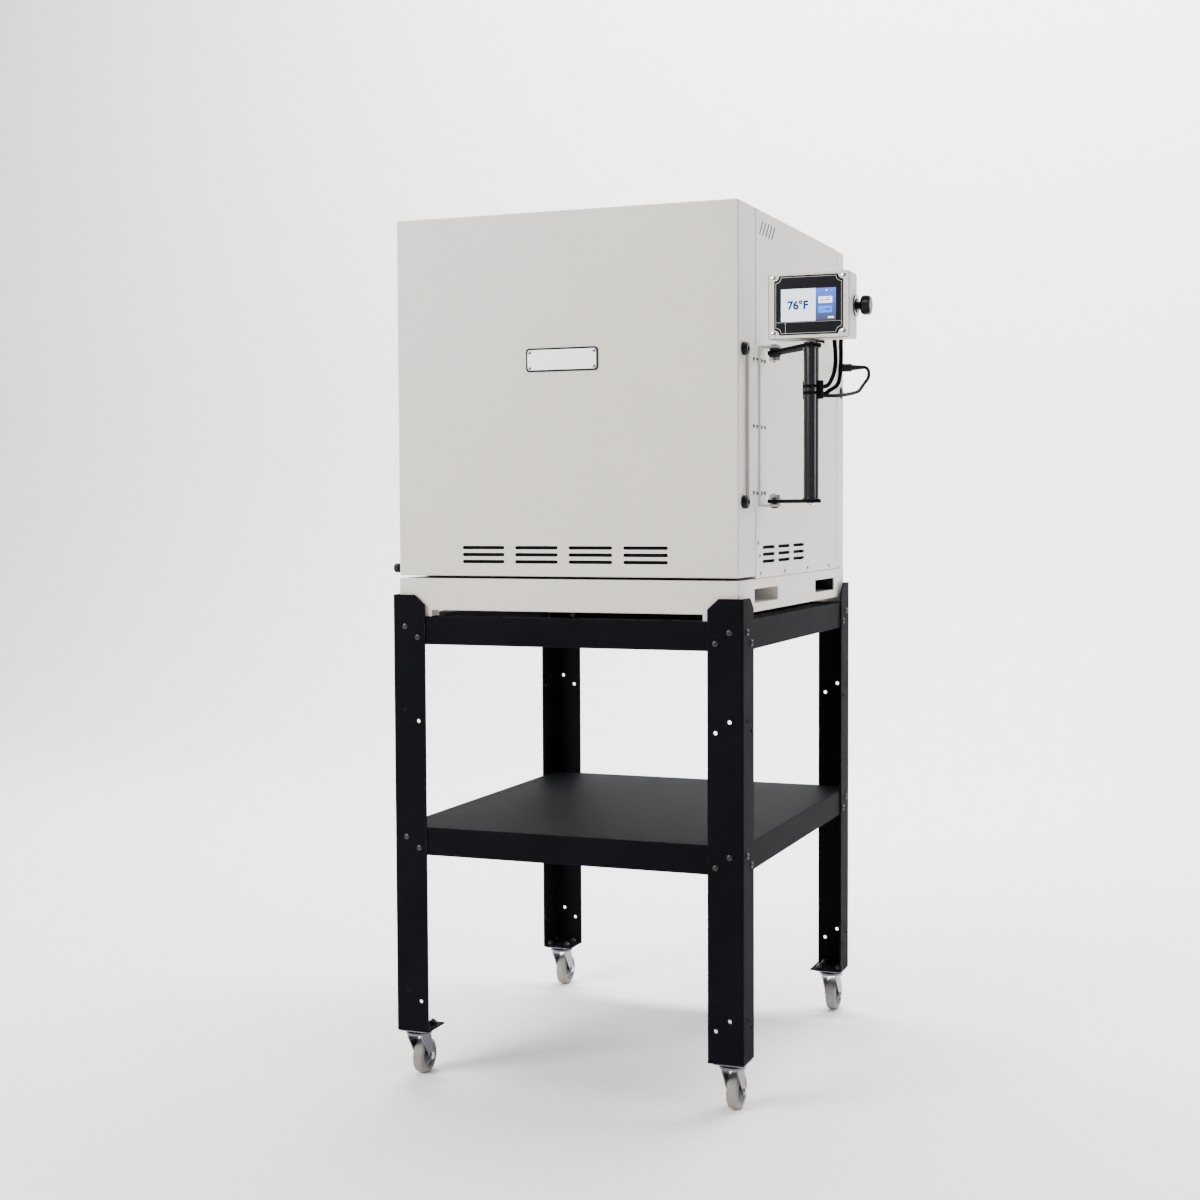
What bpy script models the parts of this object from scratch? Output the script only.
"""Bead annealing kiln with a full-size front door, on a rolling stand of folded legs.

Metres, +Z up. The kiln is modelled with X = 0 on its centre, Y = 0 on the door's
front face and Z = 0 on the floor, and is centred over its own footprint at the end.
"""

import math

import bmesh
import bpy
from mathutils import Matrix, Vector

# Shared clearances
gap = 0.0003
running_gap = 0.0004
overrun = 0.003
sheet = 0.002
bite_share = 0.5

# Kiln case, as a stack that starts at the floor
caster_height = 0.090
leg_length = 0.791
rail_drop = 0.0388
base_foot_height = 0.011
foot_inset_share = 0.3
base_height = 0.057
case_width = 0.635
case_height = 0.635
case_depth = 0.565
cover_depth = 0.0607
door_depth = 0.100
door_seam = 0.002
door_lift = 0.0047

# Firebox
chamber_width = 0.400
chamber_height = 0.400
chamber_depth = 0.400
brick = 0.0635
jacket = 0.025
brick_reveal = 0.010
floor_rebate = 0.003
floor_set_back = 0.030
gasket_spread_share = 2
gasket_bend_share = 5

# Openings of the base and the case
pocket_height = 0.0245
pocket_rise = 0.0155
pocket_width = 0.147
pocket_front = 0.093
pocket_rear = 0.226
slot_height = 0.006
slot_pitch = 0.01235
slot_rise = 0.0287
slot_rows = 3
front_slot_length = 0.081
front_slot_pitch = 0.1012
front_slot_rise = 0.0255
front_slot_groups = 4
side_slot_length = 0.0775
side_slot_pitch = 0.100
side_slot_start = 0.041
side_slot_groups = 3
louvre_count = 5
louvre_pitch = 0.0188
louvre_width = 0.0028
louvre_length = 0.0253
louvre_slant = 0.0208
louvre_start = 0.0209
louvre_drop = 0.0430

# Stand
stand_half_width = 0.3276
stand_front = 0.0085
stand_rear = 0.0075
leg_flange = 0.063
leg_sheet = 0.003
leg_corner_cut = 0.020
leg_corner_drop = 0.018
foot_plate = 0.064
rail_height = 0.050
rail_top_flange = 0.040
rail_low_flange = 0.015
shelf_top_height = 0.4627
shelf_lip = 0.0506
bolt_outer = 0.024
bolt_inner = 0.049
bolt_drop = 0.018
bolt_step = 0.0190
middle_hole_height = 0.6735
lower_hole_height = 0.165
plain_hole_radius = 0.0036
bolt_head_radius = 0.005
bolt_head_height = 0.003
bolt_radius = 0.003
nut_radius = 0.0055
nut_height = 0.004

# Casters
caster_inset = 0.0286
caster_trail = 0.022
caster_plate_side = 0.056
caster_bolt_spread = 0.019
caster_plate_sheet = 0.0025
race_radius = 0.0215
race_height = 0.0040
fork_crown_radius = 0.0225
fork_crown_height = 0.0050
fork_sheet = 0.0024
fork_eye_radius = 0.0085
king_pin_radius = 0.004
king_pin_head = 0.007
king_pin_head_height = 0.0025
wheel_radius = 0.03175
wheel_width = 0.0225
wheel_side_gap = 0.0012
wheel_hub_radius = 0.011
wheel_hub_inset = 0.0005
wheel_web_radius = 0.0235
wheel_web_inset = 0.0038
wheel_shoulder = 0.0025
axle_radius = 0.004
axle_head_radius = 0.0065
axle_head_height = 0.0035

# Door furniture
plug_side_gap = 0.004
plug_depth = 0.024
door_air_gap = 0.010
door_floor_height = 0.070
door_lip = 0.030
name_width = 0.134
name_height = 0.0407
name_sheet = 0.0015
name_corner = 0.005
name_rise = 0.0622
name_screw_inset = 0.007
name_screw_radius = 0.0035
name_screw_height = 0.001
bumper_back = 0.025
bumper_radius = 0.0115
bumper_tip_radius = 0.0095
bumper_length = 0.010
knob_back = 0.0105
knob_rise = 0.0128
knob_radius = 0.0085
knob_stem_radius = 0.0045
knob_stem_length = 0.004
knob_length = 0.010
knob_corner = 0.002

# Hinge and controller arm
hinge_stand_off = 0.0057
hinge_low = 0.1238
hinge_height = 0.2744
hinge_knuckles = 5
hinge_knuckle_radius = 0.0032
hinge_pin_radius = 0.0015
leaf_width = 0.056
leaf_seam = 0.002
bracket_width = 0.040
flange_sheet = 0.0038
flange_set_back = 0.008
flange_tip_radius = 0.0125
pivot_out = 0.0218
pivot_back = 0.0205
arm_reach = 0.147
arm_angle = -50
arm_sheet = 0.004
arm_tip_radius = 0.016
arm_spacer_high = 0.0051
arm_spacer_low = 0.0023
pivot_spacer_radius = 0.009
pivot_bolt_radius = 0.004
pivot_washer_radius = 0.0115
pivot_washer_height = 0.0062
pivot_nut_radius = 0.0095
pivot_nut_height = 0.006
mast_radius = 0.0127
mast_wall = 0.00165
mast_spigot = 0.008
mast_bolt_radius = 0.007
mast_bolt_height = 0.004
boot_radius = 0.020
boot_height = 0.030
boot_drop = 0.060
boot_chamfer = 0.003

# Controller head and its yoke
yoke_sheet = 0.0025
yoke_strap = 0.003
yoke_width = 0.025
yoke_strap_height = 0.014
yoke_bolt_radius = 0.008
yoke_bolt_height = 0.0032
yoke_back = 0.038
ear_radius = 0.018
tilt_back = 0.018
head_width = 0.134
head_depth = 0.0533
head_height = 0.107
head_wall = 0.0025
head_corner = 0.003
head_shift = 0.002
head_front = 0.0223
head_lift = 0.0047
face_sheet = 0.0044
face_screw_inset = 0.0085
face_screw_radius = 0.0042
face_screw_height = 0.0012
overlay_width = 0.1155
overlay_height = 0.0965
overlay_sheet = 0.0006
overlay_notch = 0.0085
screen_width = 0.0918
screen_height = 0.0525
screen_sheet = 0.0004
tilt_stud_radius = 0.003
tilt_stud_length = 0.006
tilt_stem_radius = 0.006
tilt_stem_length = 0.0075
tilt_knob_radius = 0.0185
tilt_knob_length = 0.016
tilt_knob_lobes = 6
tilt_lobe_depth = 0.0016
tilt_knob_chamfer = 0.003

# Leads and their fittings
strand_diameter = 0.007
body_lead_diameter = 0.0066
gland_flange_radius = 0.0085
gland_flange_height = 0.004
gland_nose_radius = 0.0058
gland_length = 0.010
gland_spread = 0.020
gland_shift = 0.0305
gland_drop = 0.027
plug_back = 0.023
plug_rise = 0.4022
plug_radius = 0.0085
plug_length = 0.0242
plug_nose_radius = 0.0055
plug_nose_length = 0.010
blank_back = 0.037
blank_rise = 0.3532
blank_radius = 0.012
blank_height = 0.004
strand_turn = math.radians(60)
strand_drop = 0.006
strand_step_share = 0.6
body_lead_step_share = 1.5
strand_outer_hang = (
    (0, 0.0045, 0),
    (-0.0004, 0.0085, -0.0022),
    (-0.0012, 0.0108, -0.0070),
    (-0.0035, 0.0112, -0.0150),
    (-0.0060, 0.0110, -0.0285),
    (-0.0058, 0.0108, -0.0575),
    (-0.0080, 0.0106, -0.0880),
    (-0.0120, 0.0080, -0.1000),
)
strand_inner_hang = (
    (0, 0.0045, 0),
    (0.0003, 0.0085, -0.0022),
    (0.0010, 0.0108, -0.0070),
    (0.0020, 0.0112, -0.0150),
    (0.0033, 0.0110, -0.0285),
    (0.0050, 0.0106, -0.0560),
    (0.0030, 0.0090, -0.0780),
)
body_lead_turn = math.radians(130)
body_lead_straight = 0.0025
body_lead_leaving = (
    (0.0001, 0.0106, 0),
    (0.0021, 0.0246, 0),
    (0.0051, 0.0446, 0.0001),
    (0.0076, 0.0666, 0.0002),
    (0.0056, 0.0866, 0.0004),
    (-0.0024, 0.1066, 0.0006),
    (-0.0144, 0.1266, 0.0008),
    (-0.0234, 0.1466, 0.0012),
    (-0.0274, 0.1746, 0.0020),
    (-0.0239, 0.2096, 0.0036),
    (-0.0179, 0.2496, 0.0054),
    (-0.0155, 0.2846, 0.0076),
    (-0.0215, 0.3500, 0.0126),
    (-0.0305, 0.4450, 0.0206),
    (-0.0370, 0.5300, 0.0306),
)
body_lead_arriving = (
    (0.0330, -0.0760, -0.0390),
    (0.0330, -0.0380, -0.0240),
    (0.0280, -0.0130, -0.0090),
    (0.0200, -0.0015, -0.0010),
    (0.0120, 0, 0),
)
strand_entry = ((0.0220, 0.0060), (0.0130, 0.0008), (0.0040, 0))
mains_rise = 0.060
mains_shift = 0.200
mains_flange_radius = 0.013
mains_flange_height = 0.006
mains_nose_radius = 0.009
mains_length = 0.020
mains_thread_radius = 0.008
mains_bore_radius = 0.0045
mains_bore_depth = 0.014
mains_nut_height = 0.005

# Inside the case
element_runs = 4
element_pitch = 0.088
element_radius = 0.004
element_depth = 0.008
element_end = 0.030
element_bend = 0.010
element_tail = 0.045
groove_height = 0.014
groove_depth = 0.018
turn_width = 0.017
tail_hole_radius = 0.006
probe_radius = 0.003
probe_reach = 0.040
probe_rise = 0.172
probe_hole_radius = 0.0045
probe_head_radius = 0.012
probe_head_length = 0.022
bearer_width = 0.030
bearer_share = 0.55
cover_slot_length = 0.100
cover_slot_pitch = 0.150
cover_slot_groups = 3
cover_slot_rise = 0.520
sink_width = 0.120
sink_height = 0.110
sink_base = 0.006
sink_fin = 0.030
sink_fin_sheet = 0.003
sink_fins = 9
sink_rise = 0.420
relay_width = 0.045
relay_height = 0.058
relay_depth = 0.0225
relay_post = 0.006
terminal_width = 0.120
terminal_height = 0.028
terminal_depth = 0.022
terminal_rise = 0.250
terminal_ways = 5
terminal_slot_share = 0.55

# Places that follow from the sizes
leg_top = caster_height + leg_length
rail_top = leg_top - rail_drop
base_bottom = rail_top + gap + base_foot_height
base_top = base_bottom + base_height
case_bottom = base_top + gap
case_top = case_bottom + case_height
case_half = case_width / 2
case_middle = (case_bottom + case_top) / 2
door_bottom = base_top + door_lift
body_front = door_depth + door_seam
body_rear = body_front + case_depth
cover_rear = body_rear + gap + cover_depth
stand_depth = cover_rear + stand_front + stand_rear
stand_middle = (cover_rear + stand_rear - stand_front) / 2
chamber_half = chamber_width / 2
chamber_low = case_middle - chamber_height / 2
chamber_high = case_middle + chamber_height / 2
chamber_front = body_front + sheet + gap
chamber_rear = chamber_front + chamber_depth
brick_half = chamber_half + brick
jacket_half = brick_half + gap + jacket
jacket_rear = chamber_rear + brick + gap + jacket
shelf_bottom = shelf_top_height - shelf_lip
web = leg_sheet + gap
web_inner = web + leg_sheet
hinge_x = case_half + hinge_stand_off
hinge_y = body_front
hinge_bottom = case_bottom + hinge_low
hinge_top = hinge_bottom + hinge_height
pivot_x = hinge_x + pivot_out
pivot_y = hinge_y + pivot_back
mast_x = pivot_x + arm_reach * math.cos(math.radians(arm_angle))
mast_y = pivot_y + arm_reach * math.sin(math.radians(arm_angle))
upper_lug = hinge_top - flange_sheet * bite_share
lower_lug = hinge_bottom + gap
arm_high = upper_lug - arm_spacer_high
arm_low = lower_lug + flange_sheet + arm_spacer_low
mast_low = arm_low + arm_sheet + gap
mast_high = arm_high - arm_sheet - gap
yoke_low = arm_high + running_gap
head_x = mast_x + head_shift
head_low = yoke_low + yoke_sheet + head_lift
head_high = head_low + head_height
head_middle = (head_low + head_high) / 2
face_front = mast_y - head_front - face_sheet
face_rear = face_front + face_sheet
box_front = face_rear + gap
box_rear = box_front + head_depth
tilt_y = mast_y + tilt_back
strap_front = mast_y + yoke_back
ear_inner = head_width / 2 + gap
boot_middle = arm_high - boot_drop - boot_height / 2

pieces = []


def clear_scene():
    for item in list(bpy.data.objects):
        bpy.data.objects.remove(item, do_unlink=True)


def paint(name, colour, roughness, metallic=0.0):
    """A plain Principled finish."""
    finish = bpy.data.materials.new(name)
    finish.use_nodes = True
    shader = finish.node_tree.nodes["Principled BSDF"]
    shader.inputs["Base Color"].default_value = (*colour, 1)
    shader.inputs["Roughness"].default_value = roughness
    shader.inputs["Metallic"].default_value = metallic
    finish.diffuse_color = (*colour, 1)
    return finish


def where(empty):
    """The point of an empty in the kiln's own frame."""
    if empty is None:
        return Vector()
    return empty.location + where(empty.parent)


def pivot(name, point, parent):
    """An empty on a joint's axis, for the pieces that turn about it."""
    empty = bpy.data.objects.new(name, None)
    bpy.context.scene.collection.objects.link(empty)
    empty.parent = parent
    empty.location = Vector(point) - where(parent)
    return empty


def object_of(name, shape, parent):
    bmesh.ops.translate(shape, verts=shape.verts, vec=-where(parent))
    bmesh.ops.recalc_face_normals(shape, faces=shape.faces)
    mesh = bpy.data.meshes.new(name)
    shape.to_mesh(mesh)
    shape.free()
    item = bpy.data.objects.new(name, mesh)
    bpy.context.scene.collection.objects.link(item)
    item.parent = parent
    return item


def piece(name, shape, finish, parent, smooth_angle=None):
    """A visible sub-part, with its origin on its parent's axis."""
    item = object_of(name, shape, parent)
    item.data.materials.append(finish)
    if smooth_angle is not None:
        item.data.shade_smooth()
        item.data.set_sharp_from_angle(angle=math.radians(smooth_angle))
    pieces.append(item)
    return item


def combine(item, shape, operation):
    """Cut a hidden tool from a piece, or weld it on."""
    tool = object_of(f"{item.name}_{operation.lower()}", shape, item.parent)
    tool.hide_render = True
    tool.display_type = "WIRE"
    modifier = item.modifiers.new(operation.title(), "BOOLEAN")
    modifier.solver = "EXACT"
    modifier.operation = operation
    modifier.object = tool


def cut(item, shape):
    combine(item, shape, "DIFFERENCE")


def weld(item, shape):
    combine(item, shape, "UNION")


def point_on(axis, u, v, along):
    """A point from its place in the plane square to an axis, and its place along it."""
    if axis == "X":
        return Vector((along, u, v))
    if axis == "Y":
        return Vector((u, along, v))
    return Vector((u, v, along))


def add_box(shape, low, high):
    low = Vector(low)
    high = Vector(high)
    matrix = Matrix.Translation((low + high) / 2) @ Matrix.Diagonal((*(high - low), 1))
    bmesh.ops.create_cube(shape, size=1, matrix=matrix)
    return shape


def box(low, high):
    return add_box(bmesh.new(), low, high)


def add_stack(shape, rings):
    """A closed solid through rings of points, capped at both ends."""
    rows = [[shape.verts.new(point) for point in ring] for ring in rings]
    count = len(rows[0])
    for row, following in zip(rows, rows[1:]):
        for k in range(count):
            after = (k + 1) % count
            shape.faces.new((row[k], row[after], following[after], following[k]))
    shape.faces.new(rows[0])
    shape.faces.new(rows[-1])
    return shape


def add_prism(shape, axis, outline, start, end):
    ends = (start, end)
    return add_stack(shape, [[point_on(axis, u, v, along) for u, v in outline] for along in ends])


def prism(axis, outline, start, end):
    return add_prism(bmesh.new(), axis, outline, start, end)


def arc(centre, radius, start, end, steps):
    """Points of an arc, angles in degrees."""
    points = []
    for k in range(steps + 1):
        angle = math.radians(start + (end - start) * k / steps)
        points.append((centre[0] + radius * math.cos(angle), centre[1] + radius * math.sin(angle)))
    return points


def circle(centre, radius, sides, turn=0):
    return arc(centre, radius, turn, turn + 360 * (sides - 1) / sides, sides - 1)


def rounded(low, high, radius, steps=3):
    """A rectangle with round corners."""
    points = []
    corners = (
        (high[0] - radius, high[1] - radius, 0),
        (low[0] + radius, high[1] - radius, 90),
        (low[0] + radius, low[1] + radius, 180),
        (high[0] - radius, low[1] + radius, 270),
    )
    for u, v, start in corners:
        points += arc((u, v), radius, start, start + 90, steps)
    return points


def slot(middle, length, height):
    """A slot with round ends, level in its plane."""
    radius = height / 2
    reach = length / 2 - radius
    right = arc((middle[0] + reach, middle[1]), radius, -90, 90, 3)
    left = arc((middle[0] - reach, middle[1]), radius, 90, 270, 3)
    return right + left


def add_turned(shape, axis, centre, profile, sides, turn=0):
    """A solid turned about an axis through (radius, along) points."""
    rings = []
    for radius, along in profile:
        ring = circle(centre, radius, sides, turn)
        rings.append([point_on(axis, u, v, along) for u, v in ring])
    return add_stack(shape, rings)


def turned(axis, centre, profile, sides, turn=0):
    return add_turned(bmesh.new(), axis, centre, profile, sides, turn)


def add_ring(shape, axis, centre, profile, sides, turn=0):
    """A ring turned about an axis through a closed profile of (radius, along) points."""
    rows = []
    for radius, along in profile:
        ring = circle(centre, radius, sides, turn)
        rows.append([shape.verts.new(point_on(axis, u, v, along)) for u, v in ring])
    for k, row in enumerate(rows):
        following = rows[(k + 1) % len(rows)]
        for j in range(sides):
            after = (j + 1) % sides
            shape.faces.new((row[j], row[after], following[after], following[j]))
    return shape


def add_loop(shape, path, across, radius, sides):
    """A round bar bent into a closed loop that is flat across one direction."""
    rows = []
    for k, point in enumerate(path):
        along = (path[(k + 1) % len(path)] - path[k - 1]).normalized()
        side = along.cross(across)
        row = []
        for u, v in circle((0, 0), radius, sides):
            row.append(shape.verts.new(point + side * u + across * v))
        rows.append(row)
    for k, row in enumerate(rows):
        following = rows[(k + 1) % len(rows)]
        for j in range(sides):
            after = (j + 1) % sides
            shape.faces.new((row[j], row[after], following[after], following[j]))
    return shape


def smooth_route(points, spacing):
    """Points read at even steps from a smooth curve through hand-chosen ones."""
    ends = [points[0] * 2 - points[1]] + list(points) + [points[-1] * 2 - points[-2]]
    fine = 24
    dense = []
    for k in range(1, len(ends) - 2):
        before, start, end, after = ends[k - 1], ends[k], ends[k + 1], ends[k + 2]
        for step in range(fine):
            t = step / fine
            bend = 2 * before - 5 * start + 4 * end - after
            swing = 3 * start - before - 3 * end + after
            dense.append((2 * start + (end - before) * t + bend * t**2 + swing * t**3) / 2)
    dense.append(points[-1])
    length = sum((b - a).length for a, b in zip(dense, dense[1:]))
    count = max(2, round(length / spacing))
    route = [dense[0]]
    walked = 0
    target = length / count
    for a, b in zip(dense, dense[1:]):
        step = (b - a).length
        while walked + step >= target * len(route) and len(route) < count:
            route.append(a.lerp(b, (target * len(route) - walked) / step))
        walked += step
    return route + [dense[-1]]


def bar(name, route, diameter, finish, parent):
    """A round bar or lead along a route, with closed ends."""
    data = bpy.data.curves.new(name, "CURVE")
    data.dimensions = "3D"
    data.bevel_depth = diameter / 2
    data.bevel_resolution = 2
    data.use_fill_caps = True
    data.materials.append(finish)
    spline = data.splines.new("POLY")
    spline.points.add(len(route) - 1)
    spline.use_smooth = True
    for point, place in zip(spline.points, route):
        point.co = (*(place - where(parent)), 1)
    item = bpy.data.objects.new(name, data)
    bpy.context.scene.collection.objects.link(item)
    item.parent = parent
    pieces.append(item)
    return item


clear_scene()
cream = paint("cream_enamel", (0.64, 0.61, 0.57), 0.45)
black_paint = paint("black_powder_coat", (0.018, 0.018, 0.020), 0.6)
fire_brick = paint("fire_brick", (0.80, 0.72, 0.58), 0.95)
fibre = paint("ceramic_fibre", (0.86, 0.85, 0.82), 0.95)
wire_steel = paint("element_alloy", (0.32, 0.29, 0.27), 0.5, 1.0)
zinc = paint("zinc_plate", (0.55, 0.56, 0.60), 0.35, 1.0)
grey_rubber = paint("grey_rubber", (0.36, 0.34, 0.32), 0.7)
black_rubber = paint("black_rubber", (0.02, 0.02, 0.02), 0.7)
black_plastic = paint("black_plastic", (0.015, 0.015, 0.015), 0.4)
aluminium = paint("cast_aluminium", (0.70, 0.71, 0.72), 0.4, 1.0)
porcelain = paint("porcelain", (0.88, 0.86, 0.80), 0.3)
plate_white = paint("plate_white", (0.85, 0.85, 0.84), 0.35)

kiln = pivot("kiln", (0, 0, 0), None)
door = pivot("door_axis", (hinge_x, hinge_y, hinge_bottom), kiln)
arm = pivot("arm_axis", (pivot_x, pivot_y, arm_low), kiln)
yoke = pivot("swivel_axis", (mast_x, mast_y, yoke_low), arm)
head = pivot("tilt_axis", (head_x, tilt_y, head_middle), yoke)
knob = pivot("knob_axis", (head_x + ear_inner, tilt_y, head_middle), yoke)


def slot_grid(middle_u, length, pitch, groups, low_v):
    """Outlines of rows of slots, centred on one place."""
    outlines = []
    for group in range(groups):
        u = middle_u + (group - (groups - 1) / 2) * pitch
        for row in range(slot_rows):
            outlines.append(slot((u, low_v + row * slot_pitch), length, slot_height))
    return outlines


def both_sides(outlines, wall_half):
    """One tool that cuts outlines through the left and right walls of a case."""
    shape = bmesh.new()
    for side in (-1, 1):
        for outline in outlines:
            inner = side * (wall_half - sheet - overrun)
            outer = side * (wall_half + overrun)
            add_prism(shape, "X", outline, inner, outer)
    return shape


# Case and its firebox


def make_case_shell():
    """Folded case, open at the back, with a face frame round the chamber's mouth."""
    block = box((-case_half, body_front, case_bottom), (case_half, body_rear, case_top))
    shell = piece("case_shell", block, cream, kiln)
    inner = case_half - sheet
    hollow_front = body_front + sheet
    hollow_rear = body_rear + overrun
    cut(shell, box((-inner, hollow_front, case_bottom + sheet), (inner, hollow_rear, case_top - sheet)))
    mouth = chamber_half + brick_reveal
    mouth_low = chamber_low - brick_reveal
    mouth_high = chamber_high + brick_reveal
    cut(shell, box((-mouth, body_front - overrun, mouth_low), (mouth, hollow_front + overrun, mouth_high)))
    side_middle = body_front + side_slot_start + side_slot_length / 2
    side_middle += (side_slot_groups - 1) / 2 * side_slot_pitch
    side_low = case_bottom + slot_rise
    outlines = slot_grid(side_middle, side_slot_length, side_slot_pitch, side_slot_groups, side_low)
    for k in range(louvre_count):
        y = body_front + louvre_start + k * louvre_pitch
        high = case_top - louvre_drop + louvre_length
        low = case_top - louvre_drop
        slanted = y + louvre_slant
        outline = [(y, low), (y + louvre_width, low)]
        outlines.append(outline + [(slanted + louvre_width, high), (slanted, high)])
    cut(shell, both_sides(outlines, case_half))
    bearers = bmesh.new()
    bearer_top = chamber_low - brick - gap - jacket - gap
    for side in (-1, 1):
        middle = side * brick_half * bearer_share
        low = (middle - bearer_width / 2, chamber_front, case_bottom + sheet * bite_share)
        high = (middle + bearer_width / 2, jacket_rear, bearer_top)
        add_box(bearers, low, high)
    weld(shell, bearers)


def make_door_gasket():
    """Fibre rope on the face frame, which the shut door presses on."""
    radius = (door_air_gap + door_seam) / 2 - gap
    middle_y = body_front - gap - radius
    spread = brick_reveal + radius * gasket_spread_share
    low = (-chamber_half - spread, chamber_low - spread)
    high = (chamber_half + spread, chamber_high + spread)
    outline = rounded(low, high, radius * gasket_bend_share)
    path = [Vector((u, middle_y, v)) for u, v in outline]
    piece("door_gasket", add_loop(bmesh.new(), path, Vector((0, 1, 0)), radius, 8), fibre, kiln, 40)


def run_height(run):
    """Height of one run of an element, the first at the top."""
    return case_middle + ((element_runs - 1) / 2 - run) * element_pitch


def groove_floor(run):
    """Height of the shelf that one run lies on."""
    return run_height(run) - element_radius - gap


def element_grooves(side):
    """The serpentine channel that holds an element in its wall."""
    shape = bmesh.new()
    face = side * (chamber_half - overrun)
    deep = side * (chamber_half + groove_depth)
    inner = min(face, deep)
    outer = max(face, deep)
    for run in range(element_runs):
        low = groove_floor(run)
        tailed = run in (0, element_runs - 1)
        rear = chamber_rear + (overrun if tailed else -element_end)
        add_box(shape, (inner, chamber_front + element_end, low), (outer, rear, low + groove_height))
    return shape


def element_turns(side):
    """The upright slots that join the grooves end to end."""
    shape = bmesh.new()
    face = side * (chamber_half - overrun)
    deep = side * (chamber_half + groove_depth)
    inner = min(face, deep)
    outer = max(face, deep)
    for run in range(element_runs - 1):
        front = chamber_front + element_end - overrun
        rear = front + overrun + turn_width
        if run % 2:
            rear = chamber_rear - element_end + overrun
            front = rear - overrun - turn_width
        low = groove_floor(run + 1) - overrun
        high = groove_floor(run) + groove_height + overrun
        add_box(shape, (inner - overrun, front, low), (outer + overrun, rear, high))
    return shape


def element_route(side):
    """Centre line of an element, from its upper tail to its lower one."""
    x = side * (chamber_half + element_depth)
    tail = jacket_rear + element_tail
    near = chamber_front + element_end + groove_height / 2
    far = chamber_rear - element_end - groove_height / 2
    route = [Vector((x, tail, run_height(0)))]
    for run in range(element_runs - 1):
        y = near if run % 2 == 0 else far
        toward = 1 if run % 2 == 0 else -1
        upper = run_height(run)
        lower = run_height(run + 1)
        centre = y + toward * element_bend
        top = arc((centre, upper - element_bend), element_bend, 90, 90 + toward * 90, 3)
        bottom = arc((centre, lower + element_bend), element_bend, 90 + toward * 90, 90 + toward * 180, 3)
        route += [Vector((x, v, w)) for v, w in top + bottom]
    route.append(Vector((x, tail, run_height(element_runs - 1))))
    return route


def tail_holes(front, rear):
    """Holes for the four element tails through a wall at the back of the chamber."""
    shape = bmesh.new()
    for side in (-1, 1):
        for run in (0, element_runs - 1):
            centre = (side * (chamber_half + element_depth), run_height(run))
            add_prism(shape, "Y", circle(centre, tail_hole_radius, 12), front, rear)
    probe = (0, case_middle + probe_rise)
    add_prism(shape, "Y", circle(probe, probe_hole_radius, 12), front, rear)
    return shape


def make_bricks():
    """Five slabs of firebrick. The walls stand in a shallow rebate round the raised floor."""
    footing = chamber_low - floor_rebate
    ground = (brick_half, chamber_rear + brick, footing - gap)
    slab = box((-brick_half, chamber_front, chamber_low - brick), ground)
    slab = piece("brick_floor", slab, fire_brick, kiln)
    inner = chamber_half - gap
    field_low = (-inner, chamber_front + floor_set_back, footing - floor_rebate)
    weld(slab, box(field_low, (inner, chamber_rear - gap, chamber_low - gap)))
    low = (-brick_half, chamber_front, chamber_high + gap)
    slab = box(low, (brick_half, chamber_rear + brick, chamber_high + brick))
    piece("brick_roof", slab, fire_brick, kiln)
    for name, side in (("brick_left", -1), ("brick_right", 1)):
        inner = min(side * chamber_half, side * brick_half)
        outer = max(side * chamber_half, side * brick_half)
        corner = (outer, chamber_rear - gap, chamber_high)
        wall = piece(name, box((inner, chamber_front, footing), corner), fire_brick, kiln)
        cut(wall, element_grooves(side))
        cut(wall, element_turns(side))
    high = (brick_half, chamber_rear + brick, chamber_high)
    wall = piece("brick_back", box((-brick_half, chamber_rear, footing), high), fire_brick, kiln)
    cut(wall, tail_holes(chamber_rear - overrun, chamber_rear + brick + overrun))


def make_jacket():
    """Board insulation, a tray on its side that holds the bricks."""
    low = chamber_low - brick - gap - jacket
    high = chamber_high + brick + gap + jacket
    block = box((-jacket_half, chamber_front, low), (jacket_half, jacket_rear, high))
    shell = piece("insulation_jacket", block, fibre, kiln)
    inner = brick_half + gap
    hollow_low = (-inner, chamber_front - overrun, low + jacket)
    cut(shell, box(hollow_low, (inner, jacket_rear - jacket, high - jacket)))
    cut(shell, tail_holes(jacket_rear - jacket - overrun, jacket_rear + overrun))


def make_elements():
    for name, side in (("element_left", -1), ("element_right", 1)):
        bar(name, element_route(side), element_radius * 2, wire_steel, kiln)


def make_thermocouple():
    """Sheathed probe with its head block on the back of the jacket."""
    centre = (0, case_middle + probe_rise)
    head_front = jacket_rear + gap
    profile = (
        (probe_radius, chamber_rear - probe_reach),
        (probe_radius, head_front),
        (probe_head_radius, head_front),
        (probe_head_radius, head_front + probe_head_length),
    )
    piece("thermocouple", turned("Y", centre, profile, 12), porcelain, kiln, 40)


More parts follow.
